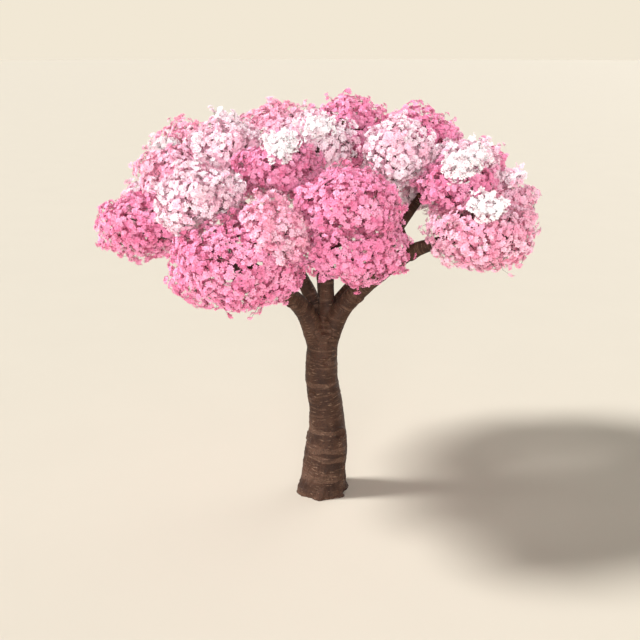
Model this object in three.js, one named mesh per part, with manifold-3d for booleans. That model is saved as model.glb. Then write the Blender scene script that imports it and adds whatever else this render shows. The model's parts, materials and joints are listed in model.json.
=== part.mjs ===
// A flowering cherry tree in full bloom, in millimetres, +Z up. The origin is the middle of the
// flat cut through the foot of the trunk at ground level, and -Y is the side it is seen from.
// The trunk forks into boughs, and every bough ends where it enters a mass of blossom.
import * as THREE from "three";
import { mergeVertices } from "three/addons/utils/BufferGeometryUtils.js";
import Module from "manifold-3d";

const wasm = await Module();
wasm.setup();

// ---- Driving dimensions -------------------------------------------------------------------
const FORK_HEIGHT = 2550; // where the trunk ends and the boughs begin
const TRUNK_RADIUS = 250; // about breast height
const SKIN = 3; // clearance between neighbouring solids

// The trunk as it rises: height and sideways lean as shares of the fork height, and girth as a
// share of the breast-height radius. It flares at the ground and bows once to the right.
const TRUNK_STATIONS = [
  { rise: 0.0, lean: -0.008, girth: 1.6 },
  { rise: 0.05, lean: -0.003, girth: 1.46 },
  { rise: 0.17, lean: 0.012, girth: 1.34 },
  { rise: 0.29, lean: 0.025, girth: 1.26 },
  { rise: 0.41, lean: 0.028, girth: 1.08 },
  { rise: 0.58, lean: 0.014, girth: 1.0 },
  { rise: 0.71, lean: -0.008, girth: 0.98 },
  { rise: 0.85, lean: -0.004, girth: 0.9 },
  { rise: 1.0, lean: -0.004, girth: 0.88 },
];
const ROOT_LOBES = 5;
const ROOT_LOBE_DEPTH = 0.07; // share of the radius, fading out by knee height
const ROOT_FADE_HEIGHT = 450;

// Each bough's way from the fork, and its radius where it leaves and where it ends.
const BOUGHS = [
  {
    name: "bough_right",
    way: [[20, 0, 2250], [290, -60, 2900], [800, -320, 3480], [1200, -560, 3850]],
    from: 150,
    to: 105,
  },
  {
    name: "bough_left",
    way: [[-40, 0, 2300], [-230, -100, 2800], [-470, -420, 3180], [-900, -1400, 3800]],
    from: 150,
    to: 95,
  },
  {
    name: "bough_middle",
    way: [[20, 20, 2300], [60, 80, 2900], [40, 60, 3850], [-40, -160, 4900]],
    from: 125,
    to: 80,
  },
  {
    name: "bough_back_left",
    way: [[-30, 40, 2300], [-160, 250, 2950], [-700, 420, 3800], [-1750, 500, 4850]],
    from: 120,
    to: 70,
  },
  {
    name: "bough_back_right",
    way: [[40, 60, 2300], [150, 170, 2800], [830, 320, 3600], [1500, 600, 4500]],
    from: 115,
    to: 75,
  },
  {
    name: "bough_back",
    way: [[0, 80, 2300], [20, 330, 2850], [-60, 980, 3550], [-250, 1700, 4250]],
    from: 110,
    to: 65,
  },
  {
    name: "bough_right_outer",
    way: [[1150, -530, 3800], [1350, -700, 3930], [1800, -1050, 4150]],
    from: 95,
    to: 70,
  },
  {
    name: "bough_right_inner",
    way: [[1170, -550, 3850], [1070, -560, 4050], [980, -560, 4350], [950, -600, 4800]],
    from: 50,
    to: 35,
  },
];

// Masses of blossom: at is the middle, reach the half-width and rise the half-height; turn sets
// which way the lumps face. The tints run from deep rose to the white of newly opened flowers.
const MASSES = [
  { name: "mass_front_left_low", at: [-1020, -1900, 4000], reach: 930, rise: 650, tint: "rose", turn: 36 },
  { name: "mass_front_left_high", at: [-1500, -1600, 4700], reach: 650, rise: 500, tint: "blush", turn: 8 },
  { name: "mass_front_middle", at: [-620, -2150, 4350], reach: 540, rise: 540, tint: "pink", turn: 67 },
  { name: "mass_front_right_high", at: [300, -1600, 4650], reach: 780, rise: 500, tint: "rose", turn: 70 },
  { name: "mass_front_right_low", at: [350, -1700, 4130], reach: 770, rise: 480, tint: "rose", turn: 36 },
  { name: "mass_upper_left_front", at: [-550, -900, 5000], reach: 650, rise: 420, tint: "rose", turn: 40 },
  { name: "mass_top_middle", at: [-100, -300, 5150], reach: 600, rise: 600, tint: "blush", turn: 15 },
  { name: "mass_crown_top", at: [350, 500, 5250], reach: 700, rise: 640, tint: "rose", turn: 0 },
  { name: "mass_upper_right_front", at: [950, -600, 5150], reach: 530, rise: 530, tint: "blush", turn: 8 },
  { name: "mass_top_right", at: [1300, 600, 5100], reach: 750, rise: 600, tint: "rose", turn: 60 },
  { name: "mass_shoulder_right", at: [1900, -100, 4900], reach: 600, rise: 480, tint: "blush", turn: 35 },
  { name: "mass_right_high", at: [1700, -900, 4750], reach: 600, rise: 420, tint: "rose", turn: 36 },
  { name: "mass_shoulder_right_back", at: [2200, 400, 4750], reach: 450, rise: 500, tint: "rose", turn: 48 },
  { name: "mass_far_right", at: [2500, -100, 4350], reach: 530, rise: 480, tint: "pink", turn: 22 },
  { name: "mass_right_low", at: [2000, -1200, 4200], reach: 780, rise: 520, tint: "pink", turn: 36 },
  { name: "mass_far_left", at: [-2300, -900, 4250], reach: 650, rise: 480, tint: "rose", turn: 36 },
  { name: "mass_left_high", at: [-1900, -500, 4800], reach: 650, rise: 460, tint: "pink", turn: 8 },
  { name: "mass_top_left_back", at: [-1950, 600, 4980], reach: 600, rise: 520, tint: "pink", turn: 44 },
  { name: "mass_top_left", at: [-1300, -400, 5150], reach: 600, rise: 530, tint: "blush", turn: 28 },
  { name: "mass_top_left_middle", at: [-650, 700, 5200], reach: 700, rise: 570, tint: "pink", turn: 2 },
  { name: "mass_left_inner", at: [-2200, -100, 4300], reach: 620, rise: 620, tint: "blush", turn: 18 },
  { name: "mass_left_middle", at: [-1550, -600, 4700], reach: 480, rise: 400, tint: "rose", turn: 66 },
  { name: "mass_back_right_inner", at: [1350, 1000, 4500], reach: 500, rise: 450, tint: "blush", turn: 38 },
  { name: "mass_back_left", at: [-1750, 1450, 4500], reach: 820, rise: 560, tint: "rose", turn: 14 },
  { name: "mass_back_middle_left", at: [-700, 2000, 4450], reach: 760, rise: 540, tint: "blush", turn: 52 },
  { name: "mass_back_middle_right", at: [500, 1950, 4650], reach: 800, rise: 560, tint: "rose", turn: 26 },
  { name: "mass_back_right", at: [1600, 1550, 4700], reach: 750, rise: 520, tint: "pink", turn: 64 },
  { name: "mass_back_upper", at: [-50, 1350, 5050], reach: 560, rise: 430, tint: "blush", turn: 20 },
  { name: "mass_back_left_low", at: [-2150, 750, 4300], reach: 650, rise: 500, tint: "pink", turn: 40 },
  { name: "mass_back_right_low", at: [2200, 800, 4350], reach: 620, rise: 480, tint: "blush", turn: 55 },
  { name: "tuft_upper_left", at: [-500, -1300, 5300], reach: 280, rise: 200, tint: "white", turn: 0 },
  { name: "tuft_top", at: [-50, -800, 5470], reach: 230, rise: 150, tint: "white", turn: 30 },
  { name: "tuft_right_high", at: [1700, -1250, 5050], reach: 280, rise: 200, tint: "white", turn: 15 },
  { name: "tuft_right_small", at: [1900, -950, 5130], reach: 180, rise: 140, tint: "white", turn: 50 },
  { name: "tuft_right_low", at: [1970, -1620, 4600], reach: 270, rise: 180, tint: "white", turn: 40 },
  { name: "tuft_far_right", at: [2530, -400, 4780], reach: 170, rise: 170, tint: "blush", turn: 10 },
  { name: "tuft_left", at: [-2100, -350, 5180], reach: 200, rise: 130, tint: "white", turn: 20 },
];
const CRISPNESS = 0.85; // 0 is a smooth ellipsoid, 1 is a flat-sided icosahedron
const LUMP_DEPTH = 0.015; // share of the radius
const MASS_DETAIL = 2; // edge splits of the icosahedron
const TUFT_DETAIL = 1;

const COLOURS = {
  bark: 0x52392d,
  rose: 0xf48fb5,
  pink: 0xf9b9cf,
  blush: 0xfbdde6,
  white: 0xfdf6f6,
};

// ---- Solids -------------------------------------------------------------------------------
// A three.js geometry as a manifold-3d solid: shared vertices merged, collapsed faces dropped.
function solidOf(geometry) {
  const bare = geometry.clone();
  for (const key of ["normal", "uv"]) bare.deleteAttribute(key);
  const merged = mergeVertices(bare, 1e-3);
  const corners = merged.index.array;
  const kept = [];
  for (let i = 0; i < corners.length; i += 3) {
    const [a, b, c] = corners.slice(i, i + 3);
    if (a !== b && b !== c && a !== c) kept.push(a, b, c);
  }
  return new wasm.Manifold(
    new wasm.Mesh({
      numProp: 3,
      vertProperties: merged.attributes.position.array,
      triVerts: new Uint32Array(kept),
    }),
  );
}

function geometryOf(solid) {
  const mesh = solid.getMesh();
  return new THREE.BufferGeometry()
    .setAttribute("position", new THREE.BufferAttribute(mesh.vertProperties, 3))
    .setIndex(new THREE.BufferAttribute(mesh.triVerts, 1));
}

// The largest body, where a cut has left slivers beside it.
function largest(solid) {
  return solid.decompose().sort((a, b) => b.volume() - a.volume())[0];
}

// A round limb: a lathed taper whose sections are carried along a curve.
// section(t) gives { middle, radius(angle), across, along } for t from 0 to 1.
function sweptLimb(section, sides, steps) {
  const profile = [new THREE.Vector2(0, 0)];
  for (let i = 0; i <= steps; i++) profile.push(new THREE.Vector2(1, i / steps));
  profile.push(new THREE.Vector2(0, 1));
  const limb = new THREE.LatheGeometry(profile, sides);
  const at = limb.attributes.position;
  const sections = Array.from({ length: steps + 1 }, (_, i) => section(i / steps));
  for (let i = 0; i < at.count; i++) {
    const { middle, radius, across, along } = sections[Math.round(at.getY(i) * steps)];
    const angle = Math.atan2(at.getX(i), at.getZ(i));
    const out = Math.hypot(at.getX(i), at.getZ(i)) > 0.5 ? radius(angle) : 0;
    const place = middle
      .clone()
      .addScaledVector(across, out * Math.cos(angle))
      .addScaledVector(along, out * Math.sin(angle));
    at.setXYZ(i, place.x, place.y, place.z);
  }
  return solidOf(limb);
}

function outwards(solid) {
  if (solid.volume() < 0) throw new Error("a limb is inside out");
  return solid;
}

// ---- Trunk --------------------------------------------------------------------------------
const TRUNK_SIDES = 20;
const TRUNK_STEPS = 12;

function trunk(grow = 0) {
  const line = new THREE.CatmullRomCurve3(
    TRUNK_STATIONS.map(
      (s) => new THREE.Vector3(s.lean * FORK_HEIGHT, s.girth * TRUNK_RADIUS, s.rise * FORK_HEIGHT),
    ),
  );
  const across = new THREE.Vector3(1, 0, 0);
  const along = new THREE.Vector3(0, 1, 0);
  return outwards(
    sweptLimb(
      (t) => {
        const s = line.getPoint(t);
        const fade = Math.max(0, 1 - s.z / ROOT_FADE_HEIGHT);
        const radius = (angle) =>
          s.y * (1 + ROOT_LOBE_DEPTH * fade * Math.cos(ROOT_LOBES * angle)) + grow;
        return { middle: new THREE.Vector3(s.x, 0, s.z), radius, across, along };
      },
      TRUNK_SIDES,
      TRUNK_STEPS,
    ),
  );
}

// ---- Boughs -------------------------------------------------------------------------------
const BOUGH_SIDES = 9;
const BOUGH_STEPS = 8;

function bough({ way, from, to }, grow = 0) {
  const curve = new THREE.CatmullRomCurve3(way.map((p) => new THREE.Vector3(...p)));
  const frames = curve.computeFrenetFrames(BOUGH_STEPS);
  return outwards(
    sweptLimb(
      (t) => {
        const i = Math.round(t * BOUGH_STEPS);
        const thickness = THREE.MathUtils.lerp(from, to, t) + grow;
        const endwise = { 0: -grow, [BOUGH_STEPS]: grow }[i] ?? 0;
        return {
          middle: curve.getPointAt(t).addScaledVector(frames.tangents[i], endwise),
          radius: () => thickness,
          across: frames.normals[i],
          along: frames.binormals[i],
        };
      },
      BOUGH_SIDES,
      BOUGH_STEPS,
    ),
  );
}

// ---- Masses of blossom --------------------------------------------------------------------
// The icosahedron stands on a corner, so each mass has a peak and a foot.
const UPRIGHT = Math.atan(2 / (1 + Math.sqrt(5)));
const icosahedron = (detail) => new THREE.IcosahedronGeometry(1, detail).rotateX(UPRIGHT);

const facets = (() => {
  const at = icosahedron(0).attributes.position;
  const corner = (i) => new THREE.Vector3().fromBufferAttribute(at, i);
  return Array.from({ length: at.count / 3 }, (_, f) =>
    corner(3 * f).add(corner(3 * f + 1)).add(corner(3 * f + 2)).normalize(),
  );
})();
const FACET_DISTANCE = 0.7947; // from the middle of a unit icosahedron to its faces

function blossomMass({ at, reach, rise, turn, detail }, grow = 0) {
  const shape = icosahedron(detail);
  const p = shape.attributes.position;
  const way = new THREE.Vector3();
  for (let i = 0; i < p.count; i++) {
    way.fromBufferAttribute(p, i).normalize();
    const flat = FACET_DISTANCE / Math.max(...facets.map((n) => n.dot(way)));
    const lumps =
      Math.sin(4 * way.x + turn) + Math.sin(5 * way.y + 2 * turn) + Math.sin(6 * way.z + 3 * turn);
    const out = THREE.MathUtils.lerp(1, flat, CRISPNESS) * (1 + LUMP_DEPTH * lumps);
    p.setXYZ(i, way.x * out, way.y * out, way.z * out);
  }
  shape.rotateZ(THREE.MathUtils.degToRad(turn));
  shape.scale(reach + grow, reach + grow, rise + grow);
  shape.translate(...at);
  return solidOf(shape);
}

// Two masses meet on the plane through the ring where their surfaces cross: drawn out upwards
// until both are round, they are two spheres, and that plane is their radical plane.
function meetingPlane(a, b) {
  const drawn = new THREE.Vector3(1, 1, (a.reach / a.rise + b.reach / b.rise) / 2);
  const middle = new THREE.Vector3(...a.at).multiply(drawn);
  const gap = new THREE.Vector3(...b.at).multiply(drawn).sub(middle);
  if (gap.length() > a.reach + b.reach) return null;
  const share = 0.5 + (a.reach ** 2 - b.reach ** 2) / (2 * gap.lengthSq());
  const normal = gap.clone().multiply(drawn).normalize();
  const point = middle.addScaledVector(gap, share).divide(drawn);
  return { normal, offset: normal.dot(point) };
}

const masses = MASSES.map((m) => ({
  ...m,
  detail: m.name.startsWith("tuft") ? TUFT_DETAIL : MASS_DETAIL,
}));

function trimmed(mass) {
  let solid = blossomMass(mass);
  for (const other of masses) {
    const plane = other !== mass && meetingPlane(mass, other);
    if (plane) {
      const back = plane.normal.clone().negate().toArray();
      solid = solid.trimByPlane(back, -plane.offset + SKIN / 2);
    }
  }
  return largest(solid);
}

// ---- The tree -----------------------------------------------------------------------------
function piece(name, solid, colour, at = [0, 0, 0]) {
  const geometry = geometryOf(solid).translate(...at.map((v) => -v));
  const material = new THREE.MeshStandardMaterial({ color: colour, roughness: 0.8, metalness: 0 });
  const mesh = new THREE.Mesh(geometry, material);
  mesh.name = name;
  mesh.position.set(...at);
  return mesh;
}

const tree = new THREE.Group();
const wood = new THREE.Group();
const crown = new THREE.Group();
tree.add(wood, crown);

for (const mass of masses) crown.add(piece(mass.name, trimmed(mass), COLOURS[mass.tint], mass.at));

wood.add(piece("trunk", trunk(), COLOURS.bark));
const inTheWay = [trunk(SKIN), ...masses.map((m) => blossomMass(m, SKIN))];
for (const each of BOUGHS) {
  let solid = bough(each);
  for (const other of inTheWay) solid = solid.subtract(other);
  wood.add(piece(each.name, largest(solid), COLOURS.bark));
  inTheWay.push(bough(each, SKIN));
}

export default tree;
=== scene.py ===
import json
import math

import bmesh
import bpy
import numpy as np
from mathutils import Matrix, Vector, noise


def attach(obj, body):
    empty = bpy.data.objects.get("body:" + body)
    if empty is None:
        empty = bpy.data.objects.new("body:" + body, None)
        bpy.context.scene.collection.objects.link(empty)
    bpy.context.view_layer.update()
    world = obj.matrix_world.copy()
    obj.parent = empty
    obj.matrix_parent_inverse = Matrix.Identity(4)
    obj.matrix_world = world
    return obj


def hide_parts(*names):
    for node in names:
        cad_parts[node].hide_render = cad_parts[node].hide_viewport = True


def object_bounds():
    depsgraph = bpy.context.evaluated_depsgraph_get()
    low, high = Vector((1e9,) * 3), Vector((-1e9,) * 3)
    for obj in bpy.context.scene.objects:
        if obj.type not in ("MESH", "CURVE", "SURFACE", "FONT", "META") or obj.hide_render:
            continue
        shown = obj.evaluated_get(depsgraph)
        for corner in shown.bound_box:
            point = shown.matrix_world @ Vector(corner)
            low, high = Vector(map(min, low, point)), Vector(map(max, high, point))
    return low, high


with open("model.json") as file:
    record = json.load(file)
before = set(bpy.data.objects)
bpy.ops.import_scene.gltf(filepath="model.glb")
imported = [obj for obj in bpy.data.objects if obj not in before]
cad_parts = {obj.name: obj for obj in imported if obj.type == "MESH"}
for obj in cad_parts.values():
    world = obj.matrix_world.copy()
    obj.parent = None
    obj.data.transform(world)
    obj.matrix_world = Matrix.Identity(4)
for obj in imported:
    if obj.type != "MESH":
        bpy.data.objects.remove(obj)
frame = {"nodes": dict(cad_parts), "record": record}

cad_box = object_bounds()
scene = bpy.context.scene


# ---- Camera, floor and light --------------------------------------------------------------
# A 50 mm lens looks down on the whole tree from a raised stand. The tree stands on plain cream
# ground in a cream surround, under one strong soft lamp from the left, with wider ones low in
# front and behind.
camera = bpy.data.objects.new("camera", bpy.data.cameras.new("camera"))
camera.data.lens = 50
camera.location = (-0.04, -12.22, 6.49)
camera.rotation_euler = (math.radians(90 - 17.26), 0, 0)
scene.collection.objects.link(camera)
scene.camera = camera
scene.view_settings.view_transform = "Standard"

CREAM = (0.655, 0.600, 0.503)
GROUND_RADIUS = 400
GROUND_DROP = 0.002  # the ground lies this little below the foot, so the two never share a plane
MOTTLE = 0.015  # how far the ground's colour strays either way
LAMPS = {  # where each shines from, its strength, and how many degrees wide it is
    "soft_lamp": ((-0.70, -0.02, 0.71), 3.8, 12),
    "front_lamp": ((-0.06, -0.99, 0.08), 3.3, 34),
    "back_lamp": ((0.72, 0.69, 0.05), 2.4, 60),
}
SURROUND = [(0.0, (0.887, 0.807, 0.665)), (0.33, (0.887, 0.807, 0.665)),
            (0.42, (0.13, 0.13, 0.13))]  # height of the direction looked in, and colour


def node_material(name, colour, roughness):
    """A material with one Principled shader, and the means to add nodes to it."""
    material = bpy.data.materials.new(name)
    material.use_nodes = True
    shader = material.node_tree.nodes["Principled BSDF"]
    shader.inputs["Base Color"].default_value = (*colour, 1)
    shader.inputs["Roughness"].default_value = roughness
    return material, material.node_tree, shader


def pattern(tree, kind, coordinates, **values):
    """A texture node of this kind on these coordinates, with its values set."""
    node = tree.nodes.new(kind)
    tree.links.new(coordinates, node.inputs["Vector"])
    for key, value in values.items():
        node.inputs[key.replace("_", " ")].default_value = value
    return node


def blend_colours(tree, factor, first, second):
    """A colour that goes from first to second as factor goes from 0 to 1."""
    mix = tree.nodes.new("ShaderNodeMix")
    mix.data_type = "RGBA"
    tree.links.new(factor, mix.inputs["Factor"])
    for socket, colour in ((mix.inputs[6], first), (mix.inputs[7], second)):
        if isinstance(colour, bpy.types.NodeSocket):
            tree.links.new(colour, socket)
        else:
            socket.default_value = (*colour, 1)
    return mix.outputs[2]


plain_ground, tree, shader = node_material("cream_ground", CREAM, 0.9)
place = tree.nodes.new("ShaderNodeTexCoord").outputs["Object"]
mottle = pattern(tree, "ShaderNodeTexNoise", place, Scale=0.6, Detail=3)
mottled = blend_colours(tree, mottle.outputs["Fac"], [c * (1 - MOTTLE) for c in CREAM],
                        [c * (1 + MOTTLE) for c in CREAM])
tree.links.new(mottled, shader.inputs["Base Color"])

bm = bmesh.new()
bmesh.ops.create_circle(bm, cap_ends=True, segments=128, radius=GROUND_RADIUS)
bmesh.ops.translate(bm, verts=bm.verts, vec=(0, 0, -GROUND_DROP))
ground = bpy.data.objects.new("ground", bpy.data.meshes.new("ground"))
bm.to_mesh(ground.data)
bm.free()
ground.data.materials.append(plain_ground)
scene.collection.objects.link(ground)

for name, (shines_from, strength, width) in LAMPS.items():
    lamp = bpy.data.objects.new(name, bpy.data.lights.new(name, "SUN"))
    lamp.data.energy = strength
    lamp.data.angle = math.radians(width)
    lamp.rotation_euler = (-Vector(shines_from)).to_track_quat("-Z", "Y").to_euler()
    scene.collection.objects.link(lamp)

surround = bpy.data.worlds.new("surround")
surround.use_nodes = True
tree = surround.node_tree
looked = tree.nodes.new("ShaderNodeTexCoord").outputs["Generated"]
split = tree.nodes.new("ShaderNodeSeparateXYZ")
tree.links.new(looked, split.inputs[0])
fade = tree.nodes.new("ShaderNodeValToRGB")
stops = fade.color_ramp.elements
stops.new(0.5)
for stop, (at, colour) in zip(stops, SURROUND):
    stop.position = at
    stop.color = (*colour, 1)
tree.links.new(split.outputs["Z"], fade.inputs["Fac"])
tree.links.new(fade.outputs["Color"], tree.nodes["Background"].inputs["Color"])
scene.world = surround


# ---- Trunk and boughs ---------------------------------------------------------------------
# The standing wood: a trunk with a flared foot that forks into six boughs, one of which forks
# again, all under one skin of cherry bark. The limbs are swept along their ways, fused by
# remeshing, and then given relief.
BOUGHS = {  # the way of each from the fork, and its radius where it leaves and where it ends
    "bough_right": ([(0.02, 0, 2.25), (0.29, -0.06, 2.9), (0.8, -0.32, 3.48), (1.2, -0.56, 3.85)],
                    0.150, 0.105),
    "bough_left": ([(-0.04, 0, 2.3), (-0.23, -0.1, 2.8), (-0.47, -0.42, 3.18), (-0.9, -1.4, 3.8)],
                   0.150, 0.095),
    "bough_middle": ([(0.02, 0.02, 2.3), (0.06, 0.08, 2.9), (0.04, 0.06, 3.85), (-0.04, -0.16, 4.9)],
                     0.125, 0.060),
    "bough_back_left": ([(-0.03, 0.04, 2.3), (-0.16, 0.25, 2.95), (-0.7, 0.42, 3.8),
                         (-1.75, 0.5, 4.85)], 0.120, 0.050),
    "bough_back_right": ([(0.04, 0.06, 2.3), (0.15, 0.17, 2.8), (0.83, 0.32, 3.6), (1.5, 0.6, 4.5)],
                         0.115, 0.060),
    "bough_back": ([(0, 0.08, 2.3), (0.02, 0.33, 2.85), (-0.06, 0.98, 3.55), (-0.25, 1.7, 4.25)],
                   0.110, 0.060),
    "bough_right_outer": ([(1.15, -0.53, 3.8), (1.35, -0.7, 3.93), (1.8, -1.05, 4.15)],
                          0.100, 0.065),
    "bough_right_inner": ([(1.17, -0.55, 3.85), (1.07, -0.56, 4.05), (0.98, -0.56, 4.35),
                           (0.95, -0.6, 4.8)], 0.055, 0.035),
}
STATION_GAP = 0.06  # along a limb
CURVE_STEPS = 24  # to each stretch of a way, before stations are spaced out along it
LIMB_SIDES = 20
COLLAR, COLLAR_FADE = 0.25, 9  # how much a limb swells where it leaves, and how soon that is gone
BARK_VOXEL = 0.0146
CUT_DEPTH = 0.08  # how far the foot runs on below the ground before it is cut level
CROTCH = [(0, 0, 2.05), (0.01, 0.02, 2.35), (0.02, 0.03, 2.66)]  # fills the fork between limbs
CROTCH_RADII = (0.19, 0.12)
TIP_REACH, TIP_RADIUS = 0.32, 0.018  # how far a limb tapers on past its last station
TIP_RISE = 0.25  # how much it turns upwards there
TRUNK_CORNERS = 20  # the least round the solid trunk at any of its levels
ROOT_BEARINGS = (15, 80, 138, 196, 262, 318)  # degrees round the foot from +X
ROOT_WAY = [(0.20, 0.60), (0.25, 0.26), (0.335, -CUT_DEPTH)]  # how far out and how high it runs
ROOT_RADII = (0.045, 0.100)
ROOT_SIDES = 12


def smooth_way(points, gap=STATION_GAP):
    """Evenly spaced stations on a Catmull-Rom curve through the points."""
    p = np.array(points, float)
    p = np.vstack([2 * p[0] - p[1], p, 2 * p[-1] - p[-2]])
    t = np.linspace(0, 1, CURVE_STEPS, endpoint=False)[:, None]
    dense = np.vstack([
        0.5 * (2 * b + (c - a) * t + (2 * a - 5 * b + 4 * c - d) * t**2
               + (3 * b - a - 3 * c + d) * t**3)
        for a, b, c, d in zip(p, p[1:], p[2:], p[3:])
    ] + [p[-2]])
    run = np.r_[0, np.cumsum(np.linalg.norm(np.diff(dense, axis=0), axis=1))]
    steps = np.linspace(0, run[-1], max(3, round(run[-1] / gap) + 1))
    return np.column_stack([np.interp(steps, run, dense[:, k]) for k in range(3)])


def carried_frames(stations):
    """The direction at each station, with two crosswise directions carried along untwisted."""
    ahead = np.gradient(stations, axis=0)
    ahead /= np.linalg.norm(ahead, axis=1)[:, None]
    across = np.zeros_like(ahead)
    side = np.array([1.0, 0, 0]) if abs(ahead[0, 0]) < 0.9 else np.array([0, 1.0, 0])
    for i, way in enumerate(ahead):
        side = side - way * side.dot(way)
        side /= np.linalg.norm(side)
        across[i] = side
    return ahead, across, np.cross(ahead, across)


def sweep(bm, stations, radii, sides=LIMB_SIDES):
    """A closed round limb in bm: a circle at each station, bridged to the next."""
    ahead, across, over = carried_frames(stations)
    last = None
    for i, (middle, radius) in enumerate(zip(stations, radii)):
        turn = Matrix(np.column_stack([across[i], over[i], ahead[i]]).tolist()).to_4x4()
        ends = i in (0, len(stations) - 1)
        ring = bmesh.ops.create_circle(bm, cap_ends=ends, segments=sides, radius=radius,
                                       matrix=Matrix.Translation(middle) @ turn)["verts"]
        edges = [e for e in {e for v in ring for e in v.link_edges} if e.is_valid]
        if last:
            bmesh.ops.bridge_loops(bm, edges=last + edges)
        last = edges


limbs = {}  # name: stations and radii
for name, (way, thick, thin) in BOUGHS.items():
    stations = smooth_way(way)
    share = np.linspace(0, 1, len(stations))
    collar = COLLAR * np.exp(-share * COLLAR_FADE)
    radii = (thick + (thin - thick) * share) * (1 + collar)
    if name != "bough_right":  # its two outer limbs go on from it instead
        onward = stations[-1] - stations[-2]
        onward = onward / np.linalg.norm(onward) + (0, 0, TIP_RISE)
        steps = np.arange(1, round(TIP_REACH / STATION_GAP) + 1)[:, None] * STATION_GAP
        stations = np.vstack([stations, stations[-1] + onward * steps])
        radii = np.r_[radii, np.linspace(thin, TIP_RADIUS, len(steps) + 1)[1:]]
    limbs[name] = stations, radii

bm = bmesh.new()
bm.from_mesh(frame["nodes"]["trunk"].data)
bmesh.ops.remove_doubles(bm, verts=bm.verts, dist=1e-5)
foot = [v for v in bm.verts if v.co.z < 0.001]
bmesh.ops.translate(bm, verts=foot, vec=(0, 0, -CUT_DEPTH))
levels = {}
for v in bm.verts:
    levels.setdefault(round(v.co.z, 3), []).append(v.co.copy())
rings = [np.array(c) for z, c in sorted(levels.items()) if len(c) >= TRUNK_CORNERS]
limbs["trunk"] = (np.array([c.mean(axis=0) for c in rings]),
                  np.array([np.linalg.norm((c - c.mean(axis=0))[:, :2], axis=1).max()
                            for c in rings]))
for stations, radii in [limbs[name] for name in BOUGHS]:
    sweep(bm, stations, radii)
stations = smooth_way(CROTCH)
sweep(bm, stations, np.linspace(*CROTCH_RADII, len(stations)))
for bearing in np.radians(ROOT_BEARINGS):
    out = np.array([math.cos(bearing), math.sin(bearing), 0])
    stations = smooth_way([out * reach + (0, 0, rise) for reach, rise in ROOT_WAY])
    sweep(bm, stations, np.linspace(*ROOT_RADII, len(stations)), ROOT_SIDES)
bmesh.ops.recalc_face_normals(bm, faces=bm.faces)

bark = bpy.data.objects.new("bark", bpy.data.meshes.new("bark"))
bm.to_mesh(bark.data)
bm.free()
scene.collection.objects.link(bark)


def settle(piece):
    """Applies the piece's modifiers to its mesh."""
    made = bpy.data.meshes.new_from_object(
        piece.evaluated_get(bpy.context.evaluated_depsgraph_get()))
    piece.modifiers.clear()
    old, piece.data = piece.data, made
    bpy.data.meshes.remove(old)


fuse = bark.modifiers.new("fuse", "REMESH")
fuse.mode = "VOXEL"
fuse.voxel_size = BARK_VOXEL
ease = bark.modifiers.new("ease", "SMOOTH")
ease.factor = 0.5
ease.iterations = 14
settle(bark)

# Every point of the skin is given its place on its limb: crosswise in two directions, and along.
points = np.empty(len(bark.data.vertices) * 3)
bark.data.vertices.foreach_get("co", points)
points = points.reshape(-1, 3)
outward = np.empty_like(points)
bark.data.vertices.foreach_get("normal", outward.ravel())

nearest = np.full(len(points), np.inf)
on_limb = np.zeros_like(points)
for order, (stations, radii) in enumerate(limbs.values()):
    ahead, across, over = carried_frames(stations)
    along = np.r_[0, np.cumsum(np.linalg.norm(np.diff(stations, axis=0), axis=1))]
    for i in range(len(stations)):
        off = points - stations[i]
        gap = np.linalg.norm(off, axis=1) - radii[i]
        closer = gap < nearest
        nearest[closer] = gap[closer]
        off = off[closer]
        on_limb[closer] = np.column_stack([off @ across[i], off @ over[i],
                                           along[i] + off @ ahead[i] + 10 * order])

LUMPS, RINGS, CRACKS, FLUTES = 0.013, 0.0045, 0.010, 0.032  # depth of each relief, in metres
CRACK_NARROWNESS = 3.6
RELIEF_RADIUS = 0.2  # a limb this thick has the reliefs at these depths, and a thinner one less
CRACKED_BELOW, FLUTED_BELOW = 1.2, 0.75
ROOT_SPREAD = 0.5  # radians round the foot, over which a root falls away to the flute beside it
SCARS = [((-0.16, -0.22, 1.62), 0.055), ((0.2, -0.16, 1.0), 0.05), ((0.06, -0.26, 2.12), 0.04),
         ((0.1, 0.25, 1.35), 0.06), ((-0.23, 0.1, 0.85), 0.05), ((0.52, -0.3, 3.05), 0.035),
         ((-0.42, -0.5, 3.0), 0.035)]  # where boughs were lost, and how wide each scar is
SCAR_LIP, SCAR_EYE = 0.022, 0.020  # how high its lip stands, and how deep its eye is
SCAR_SQUAT = 1.25  # how much wider it is than tall


def bark_noise(place, across, along, shift=0):
    """Noise at a place on its limb, with about this many waves a metre across it and along it."""
    x, y, s = place
    return noise.noise((x * across + shift, y * across, s * along))


height = points[:, 2]
girth = np.clip(np.linalg.norm(on_limb[:, :2], axis=1) / RELIEF_RADIUS, 0.25, 1.4)
bearing = np.arctan2(points[:, 1], points[:, 0])
roots = np.radians(ROOT_BEARINGS)
off_root = np.abs((bearing[:, None] - roots + np.pi) % (2 * np.pi) - np.pi).min(axis=1)
flute = np.clip(1 - height / FLUTED_BELOW, 0, 1) ** 1.5
flute *= np.clip(off_root / ROOT_SPREAD - 0.25, 0, 1)
relief = np.empty(len(points))
for i, place in enumerate(on_limb):
    lump = bark_noise(place, 4, 3) + 0.5 * bark_noise(place, 13, 10)
    ring = bark_noise(place, 6, 30) + 0.7 * bark_noise(place, 14, 75, shift=5)
    crack = 1 - abs(bark_noise(place, 15, 4.5, shift=9)) * CRACK_NARROWNESS
    worn = max(0.0, 1 - height[i] / CRACKED_BELOW)
    relief[i] = girth[i] * (LUMPS * lump + RINGS * (1 - 0.6 * worn) * max(ring, -0.35)
                            - CRACKS * worn * max(crack, 0.0))
relief -= FLUTES * flute
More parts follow.
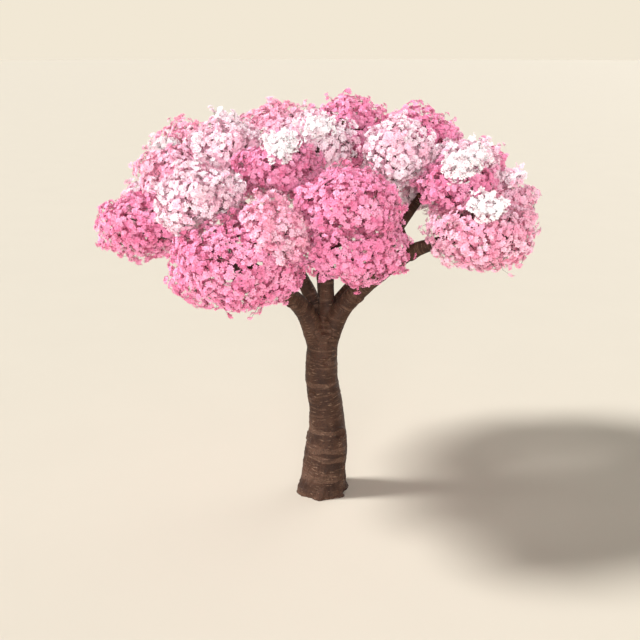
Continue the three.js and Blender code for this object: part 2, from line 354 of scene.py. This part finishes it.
for place, width in SCARS:  # a raised lip round a sunken, healed eye
    away = np.linalg.norm((points - place) * (1, 1, SCAR_SQUAT), axis=1)
    away -= away.min()
    relief += SCAR_LIP * np.exp(-((away - width) / (0.4 * width)) ** 2)
    relief -= SCAR_EYE * np.exp(-(away / (0.6 * width)) ** 2)
points += outward * relief[:, None]
bark.data.vertices.foreach_set("co", points.ravel())
mark = bark.data.attributes.new("on_limb", "FLOAT_VECTOR", "POINT")
mark.data.foreach_set("vector", on_limb.astype(np.float32).ravel())

bm = bmesh.new()
bm.from_mesh(bark.data)
whole = list(bm.verts) + list(bm.edges) + list(bm.faces)
cut = bmesh.ops.bisect_plane(bm, geom=whole, plane_co=(0, 0, 0), plane_no=(0, 0, -1),
                             clear_outer=True)["geom_cut"]
bmesh.ops.holes_fill(bm, edges=[g for g in cut if isinstance(g, bmesh.types.BMEdge)], sides=0)
for face in bm.faces:
    face.smooth = True
bm.to_mesh(bark.data)
bm.free()

# Cherry bark is dark red-brown with a satin skin, in rings and crossed by pale corky dashes.
cherry_bark, tree, shader = node_material("cherry_bark", (0.06, 0.03, 0.02), 0.7)
shader.inputs["Specular IOR Level"].default_value = 0.22
attribute = tree.nodes.new("ShaderNodeAttribute")
attribute.attribute_name = "on_limb"
limb_place = attribute.outputs["Vector"]


def squeezed(tree, coordinates, along):
    """Coordinates closer together along the limb, so that a pattern lies across it."""
    node = tree.nodes.new("ShaderNodeMapping")
    node.inputs["Scale"].default_value = (1, 1, along)
    tree.links.new(coordinates, node.inputs["Vector"])
    return node.outputs["Vector"]


def ramp(tree, value, low, high):
    """value taken from 0 to 1 between low and high."""
    node = tree.nodes.new("ShaderNodeMapRange")
    node.inputs["From Min"].default_value = low
    node.inputs["From Max"].default_value = high
    tree.links.new(value, node.inputs["Value"])
    return node.outputs["Result"]


clouds = pattern(tree, "ShaderNodeTexNoise", limb_place, Scale=3.5, Detail=5)
rings = pattern(tree, "ShaderNodeTexNoise", squeezed(tree, limb_place, 7), Scale=2.2, Detail=4)
dashes = pattern(tree, "ShaderNodeTexNoise", squeezed(tree, limb_place, 6), Scale=8, Detail=3,
                 Roughness=0.6)
grain = pattern(tree, "ShaderNodeTexNoise", limb_place, Scale=55, Detail=4)
wood_tone = blend_colours(tree, ramp(tree, clouds.outputs["Fac"], 0.36, 0.64),
                          (0.034, 0.0137, 0.0078), (0.075, 0.0335, 0.0190))
ringed = blend_colours(tree, ramp(tree, rings.outputs["Fac"], 0.52, 0.62), wood_tone,
                       (0.106, 0.054, 0.034))
corky = ramp(tree, dashes.outputs["Fac"], 0.60, 0.66)
dashed = blend_colours(tree, corky, ringed, (0.195, 0.118, 0.079))
flecked = blend_colours(tree, ramp(tree, grain.outputs["Fac"], 0.48, 0.78), dashed,
                        (0.022, 0.011, 0.008))
tree.links.new(flecked, shader.inputs["Base Color"])
satin = tree.nodes.new("ShaderNodeMapRange")
satin.inputs["To Min"].default_value = 0.62
satin.inputs["To Max"].default_value = 0.92
tree.links.new(corky, satin.inputs["Value"])
tree.links.new(satin.outputs["Result"], shader.inputs["Roughness"])


def bump(tree, height, distance, under=None):
    """A bump of this depth, on top of the one under it."""
    node = tree.nodes.new("ShaderNodeBump")
    node.inputs["Strength"].default_value = 0.6
    node.inputs["Distance"].default_value = distance
    tree.links.new(height, node.inputs["Height"])
    if under:
        tree.links.new(under, node.inputs["Normal"])
    return node.outputs["Normal"]


corky_bump = bump(tree, dashes.outputs["Fac"], 0.03)
tree.links.new(bump(tree, grain.outputs["Fac"], 0.006, corky_bump), shader.inputs["Normal"])
bark.data.materials.append(cherry_bark)
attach(bark, "root")
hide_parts("trunk", *BOUGHS)


# ---- Sprays: where the blossom is carried ---------------------------------------------------
# Blossom is carried in sprays over the outside of every mass. Each spray is a patch of the
# mass's surface round the end of one twig, and neighbouring masses carry none between them.
FEEDS = {  # which masses grow from which bough
    "bough_left": ("mass_front_left_low", "mass_front_left_high", "mass_front_middle",
                   "mass_far_left"),
    "bough_back_left": ("mass_left_high", "mass_left_inner", "mass_left_middle", "mass_top_left",
                        "mass_top_left_back", "mass_top_left_middle", "mass_back_left_low",
                        "tuft_left"),
    "bough_middle": ("mass_upper_left_front", "mass_top_middle", "mass_crown_top",
                     "mass_front_right_high", "mass_front_right_low", "tuft_upper_left",
                     "tuft_top"),
    "bough_right_inner": ("mass_upper_right_front",),
    "bough_right_outer": ("mass_right_low", "mass_far_right", "mass_right_high",
                          "tuft_right_low", "tuft_right_high", "tuft_right_small"),
    "bough_back_right": ("mass_top_right", "mass_shoulder_right", "mass_shoulder_right_back",
                         "mass_back_right_inner", "mass_back_right_low", "mass_back_right",
                         "tuft_far_right"),
    "bough_back": ("mass_back_left", "mass_back_middle_left", "mass_back_middle_right",
                   "mass_back_upper"),
}
SPRAY_GAP = 0.20  # between the ends of neighbouring twigs
UMBEL_GAP = 0.086  # between neighbouring umbels
DEEP_GAP = 0.145  # between neighbouring umbels further in
TRIES = 900  # places tried on each square metre before they are thinned to one a gap
CELLS = 4096  # more than such a grid has along any side
SLIVER = 1e-7  # a triangle of a mass with less area than this is left out
CONTACT = 0.020  # a place this near another mass carries no blossom
SKIN = 0.004  # a point this near the surface of a mass counts as in it
TWIG_DEPTH = 0.075  # how far under the surface of the mass most twigs end
DEEP = (0.10, 0.26)  # how far in the deeper umbels are set
SEAM_DEEP = (0.0, 0.12)  # and how far in where two masses meet
SHOOT_REACH = (0.03, 0.12)  # how far a long shoot stands out of it
SHOOT_SHARE = 0.20  # of the sprays
ROOM = 0.045  # how far past the box of the solids a shoot may reach

chance = np.random.default_rng(20)
masses = [name for names in FEEDS.values() for name in names]


def faces_of(name):
    """Corners and outward direction of each triangle of a mass."""
    mesh = frame["nodes"][name].data
    mesh.calc_loop_triangles()
    co = np.array([v.co[:] for v in mesh.vertices])
    corners = co[np.array([t.vertices[:] for t in mesh.loop_triangles])]
    cross = np.cross(corners[:, 1] - corners[:, 0], corners[:, 2] - corners[:, 0])
    area = np.linalg.norm(cross, axis=1) / 2
    kept = area > SLIVER
    return corners[kept], cross[kept] / (2 * area[kept, None]), area[kept]


faces = {name: faces_of(name) for name in masses}


def inside(points, name):
    """Whether each point is in this mass, which bulges outwards everywhere."""
    corners, way, _ = faces[name]
    low, high = corners.min(axis=(0, 1)), corners.max(axis=(0, 1))
    near = ((points > low) & (points < high)).all(axis=1)
    held = np.zeros(len(points), bool)
    depth = points[near] @ way.T - (corners[:, 0] * way).sum(axis=1)
    held[near] = depth.max(axis=1) < SKIN
    return held


def places_on(name):
    """Places all over a mass, their ways outwards, and which of them neighbours leave free."""
    corners, way, area = faces[name]
    count = int(area.sum() * TRIES)
    pick = chance.choice(len(area), count, p=area / area.sum())
    u, v = chance.random(count), chance.random(count)
    fold = u + v > 1
    u[fold], v[fold] = 1 - u[fold], 1 - v[fold]
    a, b, c = corners[pick].transpose(1, 0, 2)
    spots = a + (b - a) * u[:, None] + (c - a) * v[:, None]
    free = np.ones(count, bool)
    for other in masses:
        if other != name:
            free &= ~inside(spots + way[pick] * CONTACT, other)
    return spots, way[pick], free


def thinned(spots, gap):
    """One of the spots in each cell of a grid, as indices."""
    cells = np.floor(spots / gap + CELLS // 2).astype(np.int64)
    return np.unique(cells @ [1, CELLS, CELLS**2], return_index=True)[1]


box_low, box_high = [np.array(corner[:]) for corner in cad_box]
mass_sprays = {}  # name: ends of the sprays, ways outwards, heights of the twigs' ends there
mass_umbels = {}  # name: places of the umbels and ways outwards, near the surface and deeper in
for name in masses:
    all_spots, all_way, free = places_on(name)
    spots, way = all_spots[free], all_way[free]
    pick = thinned(spots, SPRAY_GAP)
    ends, out = spots[pick], way[pick]
    reach = np.full(len(ends), -TWIG_DEPTH)
    stands = chance.uniform(*SHOOT_REACH, len(ends))
    tip = ends + out * stands[:, None]
    clear = ((tip > box_low - ROOM) & (tip < box_high + ROOM)).all(axis=1)
    shoot = clear & (chance.random(len(ends)) < SHOOT_SHARE)
    reach[shoot] = stands[shoot]
    mass_sprays[name] = ends, out, reach
    near, deep = thinned(spots, UMBEL_GAP), thinned(all_spots, DEEP_GAP)
    depth = np.where(free[deep], chance.uniform(*DEEP, len(deep)),
                     chance.uniform(*SEAM_DEEP, len(deep)))
    mass_umbels[name] = (spots[near], way[near], all_spots[deep] - all_way[deep] * depth[:, None],
                         all_way[deep])


# ---- Branches and twigs inside the masses ---------------------------------------------------
# A branch leaves its bough for each mass and forks again and again until one twig is left for
# each spray. Wood keeps its cross-section at a fork, so girth follows from the twigs it feeds.
TWIG_RADIUS = 0.0032
FORK_SHARE = (0.38, 0.6)  # of the way to the middle of what a branch still has to reach
SPLIT = (0.38, 0.62)  # share of the twigs that go to one side of a fork
BEND, WOBBLE = 0.42, 0.05  # of a branch's length, along its first heading and astray from it
BRANCH_TAPER, TWIG_TAPER = 0.92, 0.45  # radius at its end, beside that at its start
SHORT_OF = 4  # stations before the nearest one, where a branch leaves its bough


def unit(v):
    return v / np.maximum(np.linalg.norm(v, axis=-1, keepdims=True), 1e-9)


def bowed(start, heading, end, steps):
    """A branch's way: it sets out along its heading, and bends over to its end."""
    reach = np.linalg.norm(end - start)
    control = start + heading * reach * BEND + chance.normal(0, WOBBLE * reach, 3)
    t = np.linspace(0, 1, steps + 1)[:, None]
    return (1 - t) ** 2 * start + 2 * t * (1 - t) * control + t**2 * end


def fork(start, heading, tips, ways):
    """Adds the ways from start to all the tips, each with its radius at both ends."""
    radius = TWIG_RADIUS * math.sqrt(len(tips))
    if len(tips) == 1:
        ways.append((bowed(start, heading, tips[0], 2), radius, radius * TWIG_TAPER))
        return
    middle = tips.mean(axis=0)
    end = start + (middle - start) * chance.uniform(*FORK_SHARE)
    way = bowed(start, heading, end, 3)
    ways.append((way, radius, radius * BRANCH_TAPER))
    spread = tips - middle
    longest = np.linalg.svd(spread, full_matrices=False)[2][0]
    order = np.argsort(spread @ longest)
    share = min(max(round(len(tips) * chance.uniform(*SPLIT)), 1), len(tips) - 1)
    for part in (order[:share], order[share:]):
        fork(way[-1], unit(way[-1] - way[-2]), tips[part], ways)


branches = []
for bough, names in FEEDS.items():
    stations, radii = limbs[bough]
    outer = stations[len(stations) // 2:]
    for name in names:
        ends, way, reach = mass_sprays[name]
        tips = ends + way * reach[:, None]
        middle = tips.mean(axis=0)
        leave = int(np.argmin(np.linalg.norm(outer - middle, axis=1)))
        leave = max(leave - SHORT_OF, 1)
        heading = unit(outer[leave] - outer[leave - 1])
        fork(outer[leave], heading, tips, branches)


def tubes(name, ways, resolution):
    """One mesh of tapering round tubes along these ways."""
    curve = bpy.data.curves.new(name, "CURVE")
    curve.dimensions = "3D"
    curve.bevel_depth = 1
    curve.bevel_resolution = resolution
    curve.use_fill_caps = True
    for way, thick, thin in ways:
        spline = curve.splines.new("POLY")
        spline.points.add(len(way) - 1)
        spline.points.foreach_set("co", np.column_stack([way, np.ones(len(way))]).ravel())
        spline.points.foreach_set("radius", np.linspace(thick, thin, len(way)))
    piece = bpy.data.objects.new(name, curve)
    scene.collection.objects.link(piece)
    mesh = bpy.data.meshes.new_from_object(
        piece.evaluated_get(bpy.context.evaluated_depsgraph_get()))
    bpy.data.objects.remove(piece)
    made = bpy.data.objects.new(name, mesh)
    scene.collection.objects.link(made)
    return made


THICK = 0.009  # a branch from this radius up, and a twig below it
branch_piece = tubes("branches", [b for b in branches if b[1] >= THICK], 1)
twig_piece = tubes("twigs", [b for b in branches if b[1] < THICK], 0)
young_bark, tree, shader = node_material("young_bark", (0.09, 0.045, 0.035), 0.55)
place = tree.nodes.new("ShaderNodeTexCoord").outputs["Object"]
specks = pattern(tree, "ShaderNodeTexNoise", place, Scale=35, Detail=3)
young_tone = blend_colours(tree, ramp(tree, specks.outputs["Fac"], 0.4, 0.7),
                           (0.045, 0.019, 0.013), (0.100, 0.052, 0.036))
tree.links.new(young_tone, shader.inputs["Base Color"])
for piece in (branch_piece, twig_piece):
    piece.data.materials.clear()
    piece.data.materials.append(young_bark)
    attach(piece, "root")


# ---- Blossom --------------------------------------------------------------------------------
# Each umbel is a short spur with a few five-petalled flowers on thin stalks. The petals are
# notched and cupped, and one spray's petals share one of its mass's colours. The flowers further
# in all have the deepest colour, as painted shade.
PETAL = 0.033  # length, in metres
STALK = 0.032
SHADES = 4  # in each palette
PALETTES = {  # the last of each is the deepest: a spray colour like the others, and the painted shade of all the flowers further in
    "blossom_rose": [(0.93, 0.37, 0.57), (0.95, 0.42, 0.62), (0.91, 0.34, 0.55),
                     (0.89, 0.28, 0.48)],
    "blossom_pink": [(0.98, 0.57, 0.71), (0.98, 0.62, 0.75), (0.98, 0.51, 0.66),
                     (0.97, 0.43, 0.59)],
    "blossom_blush": [(0.98, 0.80, 0.87), (0.98, 0.85, 0.90), (0.98, 0.74, 0.82),
                      (0.98, 0.62, 0.74)],
    "blossom_white": [(0.98, 0.94, 0.95), (0.98, 0.97, 0.97), (0.98, 0.96, 0.97),
                      (0.98, 0.86, 0.89)],
}
EYE = (0.66, 0.07, 0.19)
CALYX = (0.32, 0.10, 0.09)


def petal_material(name, colour, roughness):
    material, _, shader = node_material(name, colour, roughness)
    shader.inputs["Sheen Weight"].default_value = 0.25
    shader.inputs["Sheen Roughness"].default_value = 0.4
    shader.inputs["Specular IOR Level"].default_value = 0.25
    return material


petals = {slot: [petal_material(f"{slot}_{i + 1}", c, 0.6) for i, c in enumerate(colours)]
          for slot, colours in PALETTES.items()}
eye_colour = petal_material("flower_eye", EYE, 0.7)
calyx_colour = petal_material("calyx_and_stalk", CALYX, 0.6)


def flower_shape(outline, eye_sides, stalk_sides):
    """Points and triangles of a flower facing +Z: five petals fanned out from the given half
    outline, an eye of stamens, and a stalk. The third list gives petal 0, eye 1 or stalk 2."""
    bm = bmesh.new()
    base = bm.verts.new((0.06, 0, 0.0))
    right = [bm.verts.new((x, y, z)) for x, y, z in outline]
    left = [bm.verts.new((x, -y, z)) for x, y, z in outline[:-1]]
    edge = right + left[::-1]
    for a, b in zip(edge, edge[1:]):
        bm.faces.new((base, b, a))
    bmesh.ops.recalc_face_normals(bm, faces=bm.faces)
    if sum(f.normal.z for f in bm.faces) < 0:
        bmesh.ops.reverse_faces(bm, faces=bm.faces)
    bmesh.ops.spin(bm, geom=bm.faces[:], axis=(0, 0, 1), cent=(0, 0, 0), steps=4,
                   angle=2 * math.pi * 4 / 5, use_duplicate=True)
    kinds = [0] * len(bm.faces)
    if eye_sides:
        bmesh.ops.create_cone(bm, segments=eye_sides, radius1=0.20, radius2=0, depth=0.20,
                              matrix=Matrix.Translation((0, 0, 0.13)))
        kinds += [1] * (len(bm.faces) - len(kinds))
    if stalk_sides:
        length = STALK / PETAL
        bmesh.ops.create_cone(bm, segments=stalk_sides, radius1=0, radius2=0.10, depth=length,
                              matrix=Matrix.Translation((0, 0, 0.03 - length / 2)))
        kinds += [2] * (len(bm.faces) - len(kinds))
    bm.verts.index_update()
    co = np.array([v.co[:] for v in bm.verts])
    tris = np.array([[v.index for v in f.verts] for f in bm.faces])
    bm.free()
    return co, tris, np.array(kinds)


NOTCHED_PETAL = [(0.58, 0.33, 0.14), (0.95, 0.24, 0.34), (0.86, 0.0, 0.24)]
PLAIN_PETAL = [(0.64, 0.37, 0.16), (1.0, 0.0, 0.34)]
full_flower = flower_shape(NOTCHED_PETAL, 3, 3)
plain_flower = flower_shape(PLAIN_PETAL, 0, 0)


def bud_shape():
    """A closed bud on its stalk, in the same form."""
    bm = bmesh.new()
    bmesh.ops.create_cone(bm, cap_ends=True, segments=3, radius1=0.17, radius2=0, depth=0.5,
                          matrix=Matrix.Translation((0, 0, 0.2)))
    kinds = [1] * len(bm.faces)
    length = STALK / PETAL
    bmesh.ops.create_cone(bm, segments=3, radius1=0, radius2=0.11, depth=length,
                          matrix=Matrix.Translation((0, 0, -length / 2)))
    kinds += [2] * (len(bm.faces) - len(kinds))
    bm.verts.index_update()
    co = np.array([v.co[:] for v in bm.verts])
    tris = np.array([[v.index for v in f.verts] for f in bm.faces])
    bm.free()
    return co, tris, np.array(kinds)


bud = bud_shape()


def turned_to(way):
    """A rotation for each direction that takes +Z to it, with a random turn about it."""
    side = unit(np.cross(way, unit(chance.normal(size=way.shape))))
    return np.stack([side, np.cross(way, side), way], axis=2)


def strewn(shape, middles, turns, sizes, palette):
    """Copies of a shape as arrays: points, triangles, and the material of each triangle."""
    co, tris, kinds = shape
    points = np.einsum("nij,vj->nvi", turns * sizes[:, None, None], co) + middles[:, None]
    corners = tris[None] + (np.arange(len(middles)) * len(co))[:, None, None]
    mats = np.where(kinds[None] == 0, palette[:, None], kinds[None] + SHADES - 1)
    return points.reshape(-1, 3), corners.reshape(-1, 3), mats.ravel()


def joined(name, parts, materials):
    """One mesh from several sets of such arrays."""
    shift = np.cumsum([0] + [len(p[0]) for p in parts])
    points = np.vstack([p[0] for p in parts])
    corners = np.vstack([p[1] + s for p, s in zip(parts, shift)])
    mesh = bpy.data.meshes.new(name)
    mesh.vertices.add(len(points))
    mesh.vertices.foreach_set("co", points.astype(np.float32).ravel())
    mesh.loops.add(corners.size)
    mesh.loops.foreach_set("vertex_index", corners.astype(np.int32).ravel())
    mesh.polygons.add(len(corners))
    mesh.polygons.foreach_set("loop_start", np.arange(0, corners.size, 3, dtype=np.int32))
    for material in materials:
        mesh.materials.append(material)
    mesh.polygons.foreach_set("material_index",
                              np.concatenate([p[2] for p in parts]).astype(np.int32))
    mesh.update(calc_edges=True)
    piece = bpy.data.objects.new(name, mesh)
    scene.collection.objects.link(piece)
    return piece


DOME = 0.070  # how much further in the rim of a spray lies than its middle
UNEVEN = (-0.06, 0.02)  # how far one spray stands in or out from the next
SWELL, SWELL_WIDTH = 0.10, 0.42  # how far and how broadly the sprays heap up together
SINK = 0.030  # how far in an umbel is set, so that its flowers reach the surface
FAN = 0.9  # how far the umbels of one spray lean apart
LEAN = 0.55  # how far the flowers of one umbel lean apart
FACE_OUT, FACE_STRAY = 0.6, 0.25  # how far a flower turns to the outside, and at random
STALK_RANGE, SIZE_RANGE = (0.8, 1.2), (0.86, 1.14)
SHOOT_UMBELS = (1.0, 0.55, 0.1)  # how far along a long shoot its umbels are
SHOOT_STRAY = 0.012
KINDS = {  # shape, number on an umbel, lean, and size beside the rest
    "full": (full_flower, 1.3, LEAN, 1),
    "plain": (plain_flower, 2.2, 2 * LEAN, 1),
    "bud": (bud, 0.4, LEAN, 1),
    "inner": (plain_flower, 2.8, 3 * LEAN, 1.45),
}


def flowers(kind, seat, axis, out, colours):
    """The flowers of one kind on all these umbels, as arrays."""
    shape, number, lean, scale = KINDS[kind]
    copies = np.floor(number + chance.random(len(seat))).astype(int)
    who = np.repeat(np.arange(len(seat)), copies)
    toward = unit(axis[who] + lean * unit(chance.normal(size=(len(who), 3))))
    head = seat[who] + toward * (STALK * chance.uniform(*STALK_RANGE, len(who)))[:, None]
    face = unit(toward + FACE_OUT * out[who] + FACE_STRAY * chance.normal(size=(len(who), 3)))
    sizes = PETAL * scale * chance.uniform(*SIZE_RANGE, len(who))
    return strewn(shape, head, turned_to(face), sizes, colours[who])


limb_stations = np.vstack([stations for stations, _ in limbs.values()])
limb_radii = np.concatenate([radii for _, radii in limbs.values()])
BARK_CLEARANCE = 0.03  # an umbel is never set nearer than this to a limb's skin


def clear_of_limbs(places):
    """Which of the places lie outside all the limbs."""
    gaps = np.linalg.norm(places[:, None] - limb_stations[None], axis=2) - limb_radii
    return gaps.min(axis=1) > BARK_CLEARANCE


slots = {row["node"]: row["material_slot"] for row in frame["record"]["subparts"]}
for name in masses:
    ends, end_way, reach = mass_sprays[name]
    umbels, way, deep, deep_way = mass_umbels[name]
    gaps = np.linalg.norm(umbels[:, None] - ends[None], axis=2)
    spray = gaps.argmin(axis=1)
    offset = (umbels - ends[spray]) / SPRAY_GAP
    offset -= way * (offset * way).sum(axis=1)[:, None]
    share = np.clip(np.linalg.norm(offset, axis=1), 0, 1)
    lift = chance.uniform(*UNEVEN, len(ends))
    lift += SWELL * np.array([noise.noise(Vector(end) / SWELL_WIDTH) for end in ends])
    seat = umbels - way * (SINK + DOME * share**2 - lift[spray])[:, None]
    axis = unit(way + FAN * offset)
    spray_colour = chance.integers(0, SHADES, len(ends))
    bare = clear_of_limbs(seat)
    seat, axis, way, umbel_colour = seat[bare], axis[bare], way[bare], spray_colour[spray][bare]
    parts = [flowers(kind, seat, axis, way, umbel_colour) for kind in ("full", "plain", "bud")]

    bare = clear_of_limbs(deep)
    deep, deep_way = deep[bare], deep_way[bare]
    # The flowers further in all get the palette's deepest colour, as painted shade inside the mass.
    parts.append(flowers("inner", deep, deep_way, deep_way, np.full(len(deep), SHADES - 1)))

    out_there = (reach > 0) & clear_of_limbs(ends)  # the long shoots
    for share_along in SHOOT_UMBELS:
        place = ends[out_there] + end_way[out_there] * (reach[out_there, None] * share_along)
        place += chance.normal(0, SHOOT_STRAY, place.shape)
        tilt = unit(end_way[out_there] + (1 - share_along) * unit(
            chance.normal(size=place.shape)))
        for kind in ("full", "plain"):
            parts.append(flowers(kind, place - end_way[out_there] * STALK, tilt, tilt,
                                 spray_colour[out_there]))
    slot = slots[name]
    blossom = joined("blossom_" + name, parts, petals[slot] + [eye_colour, calyx_colour])
    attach(blossom, "root")
    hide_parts(name)
